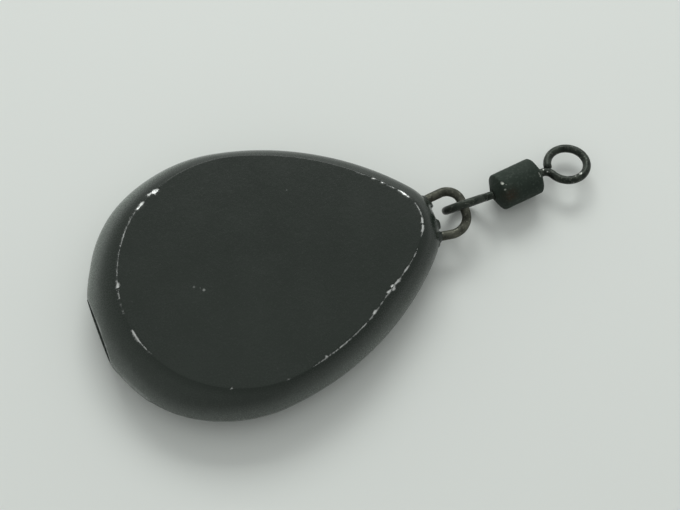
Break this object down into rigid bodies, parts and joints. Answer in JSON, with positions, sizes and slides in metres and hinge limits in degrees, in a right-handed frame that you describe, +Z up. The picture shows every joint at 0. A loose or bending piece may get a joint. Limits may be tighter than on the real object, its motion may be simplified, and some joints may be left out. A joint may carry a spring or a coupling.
{
  "type": "flat pear fishing sinker",
  "caption": "Flat pear-shaped coated lead with a wire loop cast into its tip and a rolling swivel linked to it, for holding a fishing line on the bottom.",
  "frame": {"origin": "on the flat underside, below the centre of the round butt of the pear", "axes": "+X along the pear from its butt to its tip and the swivel, +Z up through the thickness, away from the face it lies on"},
  "size_m": [0.0565, 0.0298, 0.006],
  "materials": {
    "lead": "bare cast lead, dull grey, bright where it is freshly rubbed",
    "coating": "matte green-black coating",
    "loop_wire": "tarnished wire, brown-grey with scuffs",
    "eye_wire": "blackened wire, satin",
    "barrel": "blackened, finely pitted, with small bright chips"
  },
  "bodies": {
    "lead": {"lead_core": "lead", "coat": "coating", "wire_loop": "loop_wire"},
    "lead_side_eye": {"lead_side_eye": "eye_wire"},
    "swivel_barrel": {"swivel_barrel": "barrel"},
    "line_side_eye": {"line_side_eye": "eye_wire"}
  },
  "joints": [
    {"name": "eye_swing", "type": "hinge", "parent": "lead", "child": "lead_side_eye", "pos_m": [0.02665, 0.00064, 0.003], "axis": [0, -1, 0], "range_deg": [-105, 130]},
    {"name": "barrel_spin", "type": "hinge", "parent": "lead_side_eye", "child": "swivel_barrel", "pos_m": [0.03326, 0.00119, 0.00226], "axis": [0.987, 0.1528, -0.0504], "continuous": true},
    {"name": "line_eye_spin", "type": "hinge", "parent": "swivel_barrel", "child": "line_side_eye", "pos_m": [0.03588, 0.0016, 0.00213], "axis": [0.9979, 0.0401, -0.0504], "continuous": true}
  ]
}
